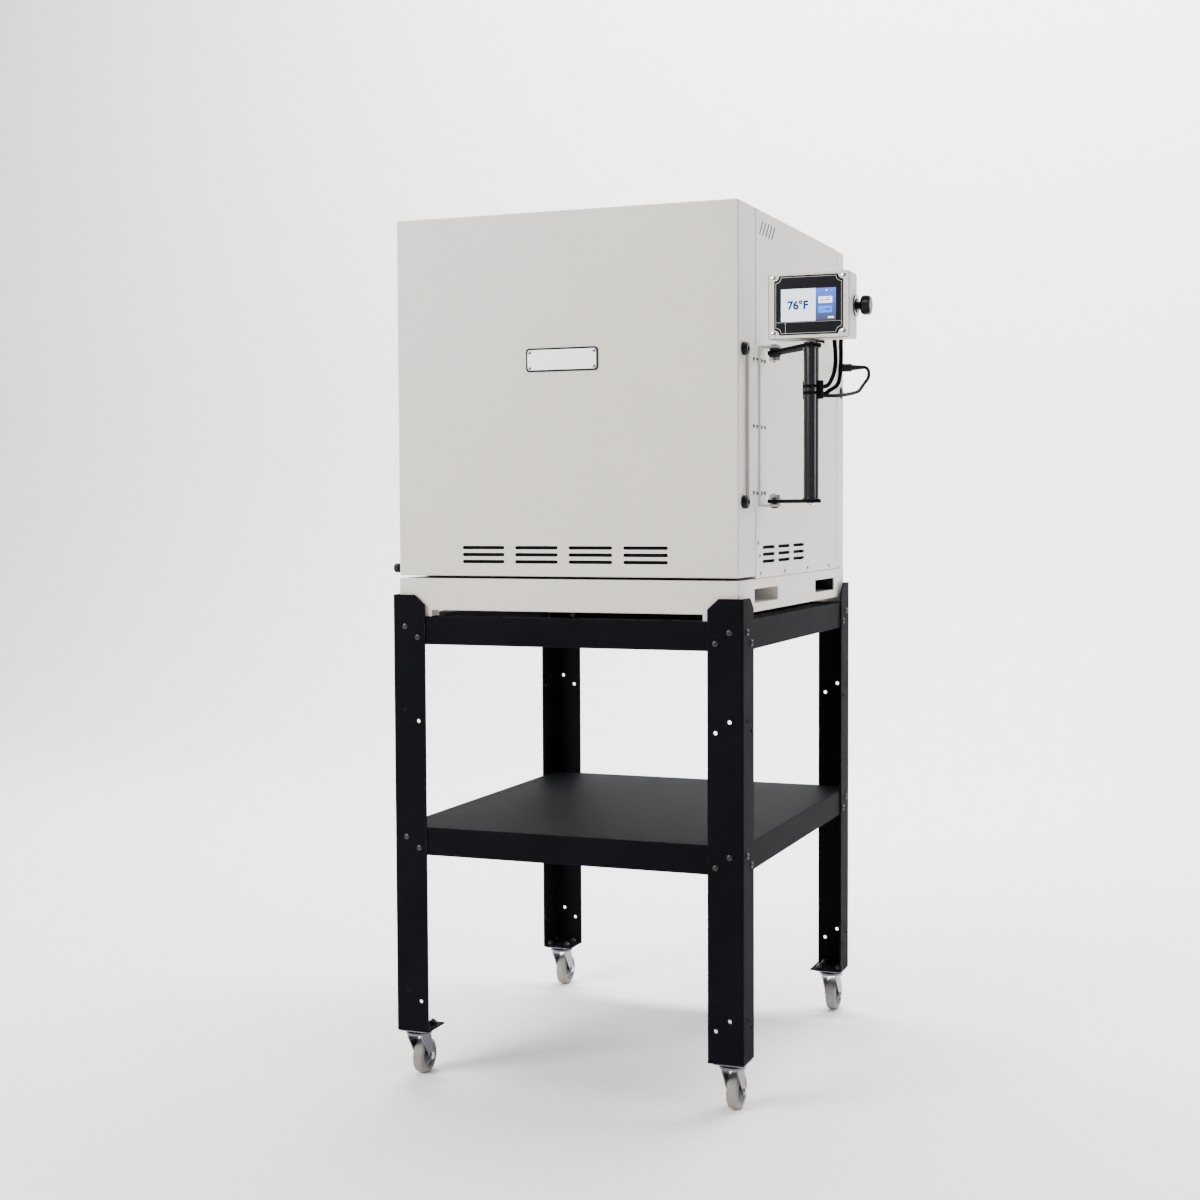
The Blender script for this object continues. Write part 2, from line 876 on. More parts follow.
def make_rear_cover():
    """Pan that closes the back over the wiring, with cooling slots at top and bottom."""
    front = body_rear + gap
    block = box((-case_half, front, case_bottom), (case_half, cover_rear, case_top))
    shell = piece("rear_cover", block, cream, kiln)
    inner = case_half - sheet
    deep = (inner, cover_rear - sheet, case_top - sheet)
    cut(shell, box((-inner, front - overrun, case_bottom + sheet), deep))
    slots = bmesh.new()
    for rise in (slot_rise, cover_slot_rise):
        low = case_bottom + rise
        for outline in slot_grid(0, cover_slot_length, cover_slot_pitch, cover_slot_groups, low):
            add_prism(slots, "Y", outline, cover_rear - sheet - overrun, cover_rear + overrun)
    cut(shell, slots)
    hole = circle((mains_shift, case_bottom + mains_rise), mains_thread_radius + running_gap, 16)
    cut(shell, prism("Y", hole, cover_rear - sheet - overrun, cover_rear + overrun))
    blank = (body_rear + blank_back, case_bottom + blank_rise)
    profile = (
        (blank_radius, case_half - sheet * bite_share),
        (blank_radius, case_half + blank_height * bite_share),
        (blank_radius * bite_share, case_half + blank_height),
    )
    weld(shell, turned("X", blank, profile, 16))


def make_rear_fittings():
    """What the rear compartment holds: heat sink, relay, terminals and the mains gland."""
    fin_tip = cover_rear - sheet - gap
    base_rear = fin_tip - sink_fin
    base_front = base_rear - sink_base
    low = case_bottom + sink_rise - sink_height / 2
    high = low + sink_height
    plate = box((-sink_width / 2, base_front, low), (sink_width / 2, base_rear, high))
    sink = piece("heat_sink", plate, aluminium, kiln)
    fins = bmesh.new()
    fin_pitch = (sink_width - 3 * sink_fin_sheet) / (sink_fins - 1)
    for k in range(sink_fins):
        x = -sink_width / 2 + sink_fin_sheet + k * fin_pitch
        bottom = (x, base_rear - sink_base * bite_share, low + sink_fin_sheet)
        add_box(fins, bottom, (x + sink_fin_sheet, fin_tip, high - sink_fin_sheet))
    weld(sink, fins)

    middle = (low + high) / 2
    relay_rear = base_front - gap
    bottom = (-relay_width / 2, relay_rear - relay_depth, middle - relay_height / 2)
    top = (relay_width / 2, relay_rear, middle + relay_height / 2)
    relay = piece("solid_state_relay", box(bottom, top), black_plastic, kiln)
    notches = bmesh.new()
    for end in (-1, 1):
        for side in (-1, 1):
            x = side * (relay_width / 2 - relay_post)
            z = middle + end * (relay_height / 2 - relay_post)
            hole = circle((x, z), relay_post * bite_share, 8)
            mouth = relay_rear - relay_depth - overrun
            add_prism(notches, "Y", hole, mouth, relay_rear - relay_depth * bite_share)
    cut(relay, notches)

    block_front = jacket_rear + gap
    block_low = case_bottom + terminal_rise
    bottom = (-terminal_width / 2, block_front, block_low)
    top = (terminal_width / 2, block_front + terminal_depth, block_low + terminal_height)
    block = piece("terminal_block", box(bottom, top), porcelain, kiln)
    ways = bmesh.new()
    pitch = terminal_width / terminal_ways
    for k in range(terminal_ways):
        x = -terminal_width / 2 + (k + 0.5) * pitch
        half = pitch * terminal_slot_share / 2
        deep = block_front + terminal_depth * bite_share
        add_box(ways, (x - half, deep, block_low - overrun), (x + half, top[1] + overrun, top[2] + overrun))
    cut(block, ways)

    inner_wall = cover_rear - sheet
    profile = (
        (mains_flange_radius, inner_wall - gap - mains_nut_height),
        (mains_flange_radius, inner_wall - gap),
        (mains_thread_radius, inner_wall - gap),
        (mains_thread_radius, cover_rear + gap),
        (mains_flange_radius, cover_rear + gap),
        (mains_flange_radius, cover_rear + gap + mains_flange_height),
        (mains_nose_radius, cover_rear + mains_length),
    )
    centre = (mains_shift, case_bottom + mains_rise)
    gland = piece("mains_gland", turned("Y", centre, profile, 16), black_plastic, kiln, 40)
    mouth = cover_rear + mains_length
    cut(gland, prism("Y", circle(centre, mains_bore_radius, 10), mouth - mains_bore_depth, mouth + overrun))


# Base


def make_base():
    """Folded plinth with two fork channels through it and a foot at each corner."""
    front = -sheet * bite_share
    block = box((-case_half, front, base_bottom), (case_half, cover_rear, base_top))
    shell = piece("base_plinth", block, cream, kiln)
    inner = case_half - sheet
    hollow_low = (-inner, front + sheet, base_bottom - overrun)
    cut(shell, box(hollow_low, (inner, cover_rear - sheet, base_top - sheet)))
    tubes = bmesh.new()
    bores = bmesh.new()
    low = base_bottom + pocket_rise
    for y in (pocket_front, cover_rear - pocket_rear):
        wall_low = (-inner - sheet * bite_share, y - sheet, low - sheet)
        wall_high = (inner + sheet * bite_share, y + pocket_width + sheet, low + pocket_height + sheet)
        add_box(tubes, wall_low, wall_high)
        bore_low = (-case_half - overrun, y, low)
        add_box(bores, bore_low, (case_half + overrun, y + pocket_width, low + pocket_height))
    weld(shell, tubes)
    cut(shell, bores)
    feet = bmesh.new()
    foot_low = rail_top + gap
    inset = sheet * foot_inset_share
    ends = (
        (front + inset, rail_top_flange - stand_front),
        (cover_rear - rail_top_flange + stand_rear, cover_rear - inset),
    )
    for side in (-1, 1):
        inner_x = side * (case_half - leg_flange)
        outer_x = side * (case_half - inset)
        for near, far in ends:
            low_corner = (min(inner_x, outer_x), near, foot_low)
            high_corner = (max(inner_x, outer_x), far, base_bottom + base_foot_height)
            add_box(feet, low_corner, high_corner)
    weld(shell, feet)


# Stand


def corner_point(side, end, u, v, z):
    """A point measured inwards from an outer corner of the stand."""
    return Vector((side * (stand_half_width - u), stand_middle + end * (stand_depth / 2 - v), z))


def corner_box(shape, side, end, low, high):
    a = corner_point(side, end, *low)
    b = corner_point(side, end, *high)
    bottom = [min(p, q) for p, q in zip(a, b)]
    top = [max(p, q) for p, q in zip(a, b)]
    return add_box(shape, bottom, top)


def bolt_places(high):
    """The two fixing places of one flange: inward from the corner, and their heights."""
    return ((bolt_outer, high), (bolt_inner, high - bolt_step))


def fixing_levels():
    return (rail_top - bolt_drop, shelf_top_height - bolt_drop)


def flange_turned(shape, side, end, flange, place, profile, sides):
    """A turned shape square to a front or side flange; depth counts inwards from its face."""
    inward, height = place
    if flange == "front":
        at = corner_point(side, end, inward, 0, height)
        spans = [(radius, at.y - end * depth) for radius, depth in profile]
        return add_turned(shape, "Y", (at.x, height), spans, sides)
    at = corner_point(side, end, 0, inward, height)
    spans = [(radius, at.x - side * depth) for radius, depth in profile]
    return add_turned(shape, "X", (at.y, height), spans, sides)


def make_leg(name, side, end):
    """Folded angle with a foot plate, fastened to the rails and the shelf by its bolts."""
    outline = (
        (0, 0),
        (leg_flange, 0),
        (leg_flange, leg_sheet),
        (leg_sheet, leg_sheet),
        (leg_sheet, leg_flange),
        (0, leg_flange),
    )
    rings = []
    for z in (caster_height, leg_top):
        rings.append([corner_point(side, end, u, v, z) for u, v in outline])
    leg = piece(name, add_stack(bmesh.new(), rings), black_paint, kiln)
    corners = bmesh.new()
    wedge = (
        (leg_flange - leg_corner_cut, leg_top),
        (leg_flange - leg_corner_cut, leg_top + overrun),
        (leg_flange + overrun, leg_top + overrun),
        (leg_flange + overrun, leg_top - leg_corner_drop),
        (leg_flange, leg_top - leg_corner_drop),
    )
    depths = (-overrun, leg_sheet + overrun)
    add_stack(corners, [[corner_point(side, end, u, depth, z) for u, z in wedge] for depth in depths])
    add_stack(corners, [[corner_point(side, end, depth, u, z) for u, z in wedge] for depth in depths])
    plain = ((plain_hole_radius, -overrun), (plain_hole_radius, leg_sheet + overrun))
    for flange in ("front", "side"):
        for high in (middle_hole_height, lower_hole_height):
            for place in bolt_places(high):
                flange_turned(corners, side, end, flange, place, plain, 8)
    cut(leg, corners)
    plate = bmesh.new()
    edge = leg_sheet * bite_share
    far = (foot_plate, foot_plate, caster_height + leg_sheet)
    corner_box(plate, side, end, (edge, edge, caster_height), far)
    weld(leg, plate)
    fixings = bmesh.new()
    nut_start = web_inner + gap
    profile = (
        (bolt_head_radius, -bolt_head_height),
        (bolt_head_radius, leg_sheet * bite_share),
        (bolt_radius, leg_sheet * bite_share),
        (bolt_radius, nut_start),
        (nut_radius, nut_start),
        (nut_radius, nut_start + nut_height),
    )
    for flange in ("front", "side"):
        for high in fixing_levels():
            for place in bolt_places(high):
                flange_turned(fixings, side, end, flange, place, profile, 6)
    weld(leg, fixings)
    nuts = bmesh.new()
    centre = caster_centre(side, end)
    top = caster_height + leg_sheet
    for across in (-1, 1):
        for along in (-1, 1):
            place = (centre.x + across * caster_bolt_spread, centre.y + along * caster_bolt_spread)
            heights = ((nut_radius, top - leg_sheet * bite_share), (nut_radius, top + nut_height))
            add_turned(nuts, "Z", place, heights, 6)
    weld(leg, nuts)


def bolt_holes(side, end, flanges, levels):
    """Clearance holes for the leg bolts through a rail or the shelf lip."""
    shape = bmesh.new()
    clear = bolt_radius + running_gap
    profile = ((clear, leg_sheet), (clear, web_inner + overrun))
    for flange in flanges:
        for high in levels:
            for place in bolt_places(high):
                flange_turned(shape, side, end, flange, place, profile, 8)
    return shape


def rail_outline():
    """Channel section: depth inwards from the stand's face, and height."""
    low = rail_top - rail_height
    return (
        (web, low),
        (web + rail_low_flange, low),
        (web + rail_low_flange, low + leg_sheet),
        (web_inner, low + leg_sheet),
        (web_inner, rail_top - leg_sheet),
        (web + rail_top_flange, rail_top - leg_sheet),
        (web + rail_top_flange, rail_top),
        (web, rail_top),
    )


def make_rails():
    level = rail_top - bolt_drop
    for name, end in (("rail_front", -1), ("rail_rear", 1)):
        reach = web_inner + gap
        rings = []
        for side in (-1, 1):
            rings.append([corner_point(side, end, reach, depth, z) for depth, z in rail_outline()])
        rail = piece(name, add_stack(bmesh.new(), rings), black_paint, kiln)
        for side in (-1, 1):
            cut(rail, bolt_holes(side, end, ("front",), (level,)))
    for name, side in (("rail_left", -1), ("rail_right", 1)):
        rings = []
        for end in (-1, 1):
            rings.append([corner_point(side, end, depth, web, z) for depth, z in rail_outline()])
        rail = piece(name, add_stack(bmesh.new(), rings), black_paint, kiln)
        notches = bmesh.new()
        clear = web + rail_top_flange + gap
        for end in (-1, 1):
            low = (web_inner, web - overrun, rail_top - rail_height - overrun)
            corner_box(notches, side, end, low, (leg_flange, clear, rail_top + overrun))
        cut(rail, notches)
        for end in (-1, 1):
            cut(rail, bolt_holes(side, end, ("side",), (level,)))


def make_shelf():
    """Tray shelf, its lip turned down inside the legs."""
    low = corner_point(-1, -1, web, web, shelf_bottom)
    high = corner_point(1, 1, web, web, shelf_top_height)
    shelf = piece("shelf", box(low, high), black_paint, kiln)
    wall = Vector((leg_sheet, leg_sheet, 0))
    hollow = box(low + wall - Vector((0, 0, overrun)), high - wall - Vector((0, 0, leg_sheet)))
    cut(shelf, hollow)
    for side in (-1, 1):
        for end in (-1, 1):
            cut(shelf, bolt_holes(side, end, ("front", "side"), (shelf_top_height - bolt_drop,)))


# Casters


def caster_centre(side, end):
    return corner_point(side, end, caster_inset, leg_flange / 2, caster_height)


def make_caster(label, side, end):
    """Plate and king pin on the leg, a fork that swivels on the pin, and its wheel."""
    centre = caster_centre(side, end)
    spot = (centre.x, centre.y)
    plate_top = caster_height - gap
    plate_low = plate_top - caster_plate_sheet
    race_low = plate_low - race_height
    crown_high = race_low - gap
    crown_low = crown_high - fork_crown_height
    pin_low = crown_low - gap - king_pin_head_height
    half = caster_plate_side / 2
    low = (centre.x - half, centre.y - half, plate_low)
    high = (centre.x + half, centre.y + half, plate_top)
    plate = piece(f"caster_plate_{label}", box(low, high), zinc, kiln)
    profile = (
        (race_radius, plate_low + caster_plate_sheet * bite_share),
        (race_radius, race_low),
        (king_pin_radius, race_low),
        (king_pin_radius, crown_low - gap),
        (king_pin_head, crown_low - gap),
        (king_pin_head, pin_low),
    )
    weld(plate, turned("Z", spot, profile, 16))

    swivel = pivot(f"swivel_{label}", (centre.x, centre.y, crown_low), kiln)
    axle_y = centre.y + caster_trail
    axle_z = wheel_radius
    cheek_inner = wheel_width / 2 + wheel_side_gap
    cheek_outer = cheek_inner + fork_sheet
    crown = turned("Z", spot, ((fork_crown_radius, crown_high), (fork_crown_radius, crown_low)), 20)
    fork = piece(f"caster_fork_{label}", crown, zinc, swivel)
    cheek_reach = math.sqrt(fork_crown_radius**2 - cheek_outer**2)
    eye = arc((axle_y, axle_z), fork_eye_radius, 20, -160, 8)
    cheek_top = crown_low + fork_crown_height * bite_share
    outline = [(centre.y - cheek_reach, cheek_top), (centre.y + cheek_reach, cheek_top)] + eye
    outline.append((centre.y - cheek_reach, crown_low - fork_crown_height))
    cheeks = bmesh.new()
    for across in (-1, 1):
        inner = centre.x + across * cheek_inner
        add_prism(cheeks, "X", outline, inner, inner + across * fork_sheet)
    weld(fork, cheeks)
    bore = circle(spot, king_pin_radius + running_gap, 16)
    cut(fork, prism("Z", bore, crown_low - overrun, crown_high + overrun))
    seat = cheek_outer - fork_sheet * bite_share
    axle = (
        (axle_head_radius, centre.x - cheek_outer - axle_head_height),
        (axle_head_radius, centre.x - seat),
        (axle_radius, centre.x - seat),
        (axle_radius, centre.x + seat),
        (axle_head_radius, centre.x + seat),
        (axle_head_radius, centre.x + cheek_outer + axle_head_height),
    )
    weld(fork, turned("X", (axle_y, axle_z), axle, 12))

    hub = pivot(f"roll_{label}", (centre.x, axle_y, axle_z), swivel)
    half_width = wheel_width / 2
    bore = axle_radius + running_gap
    hub_face = half_width - wheel_hub_inset
    web_face = half_width - wheel_web_inset
    right = (
        (bore, hub_face),
        (wheel_hub_radius, hub_face),
        (wheel_hub_radius + wheel_shoulder, web_face),
        (wheel_web_radius, web_face),
        (wheel_web_radius + wheel_shoulder, half_width),
        (wheel_radius - wheel_shoulder, half_width),
        (wheel_radius, half_width - wheel_shoulder * 2),
    )
    profile = [(radius, centre.x + along) for radius, along in right]
    profile += [(radius, centre.x - along) for radius, along in reversed(right)]
    rim = add_ring(bmesh.new(), "X", (axle_y, axle_z), profile, 20)
    piece(f"caster_wheel_{label}", rim, grey_rubber, hub, 35)


# Door


def make_door():
    """Deep pan with cooling slots, a slab of insulation and the plug that fills the mouth."""
    front = 0
    low = (-case_half, front, door_bottom)
    shell = piece("door_shell", box(low, (case_half, door_depth, case_top)), cream, door)
    inner = case_half - sheet
    hollow_high = (inner, door_depth - sheet, case_top - sheet)
    cut(shell, box((-inner, front + sheet, door_bottom + sheet), hollow_high))
    lip = case_half - door_lip
    floor = door_bottom + door_floor_height
    opening = (-lip, door_depth - sheet - overrun, floor)
    cut(shell, box(opening, (lip, door_depth + overrun, case_top - door_lip)))
    slots = bmesh.new()
    slot_low = door_bottom + front_slot_rise
    for outline in slot_grid(0, front_slot_length, front_slot_pitch, front_slot_groups, slot_low):
        add_prism(slots, "Y", outline, front - overrun, front + sheet + overrun)
    cut(shell, slots)

    slab_front = front + sheet + gap
    slab_rear = door_depth - door_air_gap
    side = inner - gap
    bottom = (-side, slab_front, floor)
    piece("door_insulation", box(bottom, (side, slab_rear, case_top - sheet - gap)), fibre, door)

    reach = chamber_half - plug_side_gap
    plug_low = (-reach, slab_rear + gap, chamber_low + plug_side_gap)
    plug_high = (reach, chamber_front + plug_depth, chamber_high - plug_side_gap)
    piece("door_plug", box(plug_low, plug_high), fire_brick, door)


def make_nameplate():
    """Bare plate on the door's face with a domed screw near each corner."""
    middle = case_middle + name_rise
    half = name_width / 2
    low = (-half, middle - name_height / 2)
    high = (half, middle + name_height / 2)
    outer = -gap - name_sheet
    plate = piece("nameplate", prism("Y", rounded(low, high, name_corner), outer, -gap), plate_white, door)
    screws = bmesh.new()
    for side in (-1, 1):
        for end in (-1, 1):
            rise = name_height / 2 - name_screw_inset
            centre = (side * (half - name_screw_inset), middle + end * rise)
            profile = (
                (name_screw_radius, outer + name_sheet * bite_share),
                (name_screw_radius, outer - name_screw_height * bite_share),
                (name_screw_radius * bite_share, outer - name_screw_height),
            )
            add_turned(screws, "Y", centre, profile, 8)
    weld(plate, screws)


def make_bumper(name, height):
    """Rubber buffer on the door's side, level with an arm plate."""
    root = case_half + gap
    tip = root + bumper_length
    profile = (
        (bumper_radius, root),
        (bumper_radius, root + bumper_length * bite_share),
        (bumper_tip_radius, tip),
    )
    piece(name, turned("X", (bumper_back, height), profile, 16), black_rubber, door, 40)


def make_door_knob():
    root = -case_half - gap
    neck = root - knob_stem_length
    end = neck - knob_length
    profile = (
        (knob_stem_radius, root),
        (knob_stem_radius, neck),
        (knob_radius - knob_corner, neck),
        (knob_radius, neck - knob_corner),
        (knob_radius, end + knob_corner),
        (knob_radius - knob_corner, end),
    )
    centre = (knob_back, door_bottom + knob_rise)
    piece("door_knob", turned("X", centre, profile, 16), black_plastic, door, 40)


# Hinge and arm


def knuckle_span(k):
    """Lower and upper end of one of the hinge's knuckles."""
    pitch = hinge_height / hinge_knuckles
    return hinge_bottom + k * pitch, hinge_bottom + (k + 1) * pitch


def hinge_relief(knuckles):
    """Room round the pin for the other leaf's knuckles."""
    shape = bmesh.new()
    for k in knuckles:
        low, high = knuckle_span(k)
        low = low - overrun if k == 0 else low
        high = high + overrun if k == hinge_knuckles - 1 else high
        relief = circle((hinge_x, hinge_y), hinge_knuckle_radius + running_gap, 12)
        add_prism(shape, "Z", relief, low, high)
    return shape


def flange_outline():
    """Pivot lug: from the bracket's face out round the arm's pivot."""
    root = hinge_x - hinge_stand_off * bite_share
    tip = arc((pivot_x, pivot_y), flange_tip_radius, -75, 90, 8)
    return [(root, hinge_y + flange_set_back)] + tip + [(root, hinge_y + leaf_seam + bracket_width)]


def make_hinge_bracket():
    """Fixed half of the hinge: plate, knuckles, pin, and a lug with a bolt for each arm plate."""
    inner = case_half + gap
    front = hinge_y + leaf_seam
    low = (inner, front, hinge_bottom)
    bracket = piece("hinge_bracket", box(low, (hinge_x, front + bracket_width, hinge_top)), cream, kiln)
    cut(bracket, hinge_relief(range(1, hinge_knuckles, 2)))
    knuckles = bmesh.new()
    for k in range(0, hinge_knuckles, 2):
        bottom, top = knuckle_span(k)
        bottom = bottom + running_gap if k else bottom
        top = top - running_gap if k < hinge_knuckles - 1 else top
        add_prism(knuckles, "Z", circle((hinge_x, hinge_y), hinge_knuckle_radius, 12), bottom, top)
    weld(bracket, knuckles)
    pin_low = hinge_bottom + hinge_pin_radius
    pin_high = hinge_top - hinge_pin_radius
    weld(bracket, prism("Z", circle((hinge_x, hinge_y), hinge_pin_radius, 8), pin_low, pin_high))
    lugs = bmesh.new()
    for low in (upper_lug, lower_lug):
        add_prism(lugs, "Z", flange_outline(), low, low + flange_sheet)
    weld(bracket, lugs)
    upper_mid = upper_lug + flange_sheet * bite_share
    lower_mid = lower_lug + flange_sheet * bite_share
    arm_top = arm_high + running_gap
    arm_under = arm_high - arm_sheet - running_gap
    washer_low = arm_under - pivot_washer_height
    upper = (
        (pivot_spacer_radius, upper_mid),
        (pivot_spacer_radius, arm_top),
        (pivot_bolt_radius, arm_top),
        (pivot_bolt_radius, arm_under),
        (pivot_washer_radius, arm_under),
        (pivot_washer_radius, washer_low),
        (pivot_nut_radius, washer_low),
        (pivot_nut_radius, washer_low - pivot_nut_height),
    )
    arm_floor = arm_low - running_gap
    arm_roof = arm_low + arm_sheet + running_gap
    washer_high = arm_roof + pivot_washer_height * bite_share
    lower = (
        (pivot_spacer_radius, lower_mid),
        (pivot_spacer_radius, arm_floor),
        (pivot_bolt_radius, arm_floor),
        (pivot_bolt_radius, arm_roof),
        (pivot_washer_radius, arm_roof),
        (pivot_washer_radius, washer_high),
        (pivot_nut_radius, washer_high),
        (pivot_nut_radius, washer_high + pivot_nut_height),
    )
    for profile in (upper, lower):
        weld(bracket, turned("Z", (pivot_x, pivot_y), profile, 12))


def make_hinge_leaf():
    """Moving half of the hinge, on the door's side."""
    inner = case_half + gap
    rear = hinge_y - leaf_seam
    low = (inner, rear - leaf_width, hinge_bottom)
    leaf = piece("hinge_leaf", box(low, (hinge_x, rear, hinge_top)), cream, door)
    cut(leaf, hinge_relief(range(0, hinge_knuckles, 2)))
    knuckles = bmesh.new()
    for k in range(1, hinge_knuckles, 2):
        bottom, top = knuckle_span(k)
        outline = circle((hinge_x, hinge_y), hinge_knuckle_radius, 12)
        add_prism(knuckles, "Z", outline, bottom + running_gap, top - running_gap)
    weld(leaf, knuckles)
    bore = circle((hinge_x, hinge_y), hinge_pin_radius + running_gap, 8)
    cut(leaf, prism("Z", bore, hinge_bottom - overrun, hinge_top + overrun))


def arm_outline():
    """Bar with round ends, from the hinge's pivot to the mast."""
    near = arc((pivot_x, pivot_y), flange_tip_radius, arm_angle + 90, arm_angle + 270, 8)
    far = arc((mast_x, mast_y), arm_tip_radius, arm_angle - 90, arm_angle + 90, 8)
    return near + far


def make_arm_plates():
    spigot_radius = mast_radius - mast_wall - gap
    mast_spot = (mast_x, mast_y)
    bore = circle((pivot_x, pivot_y), pivot_bolt_radius + running_gap, 12)
    middle = arm_sheet * bite_share

    low = arm_high - arm_sheet
    plate = piece("arm_plate_upper", prism("Z", arm_outline(), low, arm_high), black_paint, arm)
    cut(plate, prism("Z", bore, low - overrun, arm_high + overrun))
    spigot = ((spigot_radius, low - mast_spigot), (spigot_radius, low + middle))
    weld(plate, turned("Z", mast_spot, spigot, 16))
    head_bottom = yoke_low + yoke_sheet + gap
    bolt = (
        (pivot_bolt_radius, arm_high - middle),
        (pivot_bolt_radius, head_bottom),
        (yoke_bolt_radius, head_bottom),
        (yoke_bolt_radius, head_bottom + yoke_bolt_height * bite_share),
        (yoke_bolt_radius * bite_share, head_bottom + yoke_bolt_height),
    )
    weld(plate, turned("Z", mast_spot, bolt, 12))

    high = arm_low + arm_sheet
    plate = piece("arm_plate_lower", prism("Z", arm_outline(), arm_low, high), black_paint, arm)
    cut(plate, prism("Z", bore, arm_low - overrun, high + overrun))
    spigot = ((spigot_radius, high - middle), (spigot_radius, high + mast_spigot))
    weld(plate, turned("Z", mast_spot, spigot, 16))
    dome = (
        (mast_bolt_radius * bite_share, arm_low - mast_bolt_height),
        (mast_bolt_radius, arm_low - mast_bolt_height * bite_share),
        (mast_bolt_radius, arm_low + middle),
    )
    weld(plate, turned("Z", mast_spot, dome, 12))


def make_mast():
    """Tube between the arm plates, and the moulded collar that gathers the leads on it."""
    inner = mast_radius - mast_wall
    wall = ((inner, mast_low), (mast_radius, mast_low), (mast_radius, mast_high), (inner, mast_high))
    piece("mast_tube", add_ring(bmesh.new(), "Z", (mast_x, mast_y), wall, 24), black_paint, arm, 40)
    low = boot_middle - boot_height / 2
    high = boot_middle + boot_height / 2
    bore = mast_radius + running_gap
    collar = (
        (bore, low),
        (boot_radius - boot_chamfer, low),
        (boot_radius, low + boot_chamfer),
        (boot_radius, high - boot_chamfer),
        (boot_radius - boot_chamfer, high),
        (bore, high),
    )
    piece("lead_boot", add_ring(bmesh.new(), "Z", (mast_x, mast_y), collar, 24), black_rubber, arm, 40)


# Controller


def make_yoke():
    """Bent strap that carries the controller by two ears and turns on top of the mast."""
    half = yoke_width / 2
    top = yoke_low + yoke_sheet
    strap_rear = strap_front + yoke_strap
    strap_middle = strap_front + yoke_strap * bite_share
    outline = arc((mast_x, mast_y), half, 180, 360, 8)
    outline += [(mast_x + half - gap, strap_middle), (mast_x - half + gap, strap_middle)]
    cradle = piece("tilt_yoke", prism("Z", outline, yoke_low, top), black_paint, yoke)
    strap_low = head_middle - yoke_strap_height / 2
    strap_high = head_middle + yoke_strap_height / 2
    outer = ear_inner + yoke_sheet
    reach = outer - gap
    tee = (
        (mast_x - half, yoke_low + gap),
        (mast_x + half, yoke_low + gap),
        (mast_x + half, strap_low),
        (head_x + reach, strap_low),
        (head_x + reach, strap_high),
        (head_x - reach, strap_high),
        (head_x - reach, strap_low),
        (mast_x - half, strap_low),
    )
    weld(cradle, prism("Y", tee, strap_front, strap_rear))
    neck = yoke_strap_height / 2 - gap
    turn = math.degrees(math.asin(neck / ear_radius))
    ear = arc((tilt_y, head_middle), ear_radius, turn, 360 - turn, 16)
    ear += [(strap_middle, head_middle - neck), (strap_middle, head_middle + neck)]
    ears = bmesh.new()
    for side in (-1, 1):
        add_prism(ears, "X", ear, head_x + side * ear_inner, head_x + side * outer)
    weld(cradle, ears)
    stud = (
        (tilt_stud_radius, head_x - outer + yoke_sheet * bite_share),
        (tilt_stud_radius, head_x - ear_inner + tilt_stud_length),
    )
    weld(cradle, turned("X", (tilt_y, head_middle), stud, 10))
    swivel_hole = circle((mast_x, mast_y), pivot_bolt_radius + running_gap, 12)
    cut(cradle, prism("Z", swivel_hole, yoke_low - overrun, top + overrun))
    stud_hole = circle((tilt_y, head_middle), tilt_stud_radius + running_gap, 12)
    cut(cradle, prism("X", stud_hole, head_x + ear_inner - overrun, head_x + outer + overrun))


def gland_centre(side):
    """Where a lead leaves the back of the controller."""
    return head_x + gland_shift + side * gland_spread / 2, head_middle - gland_drop


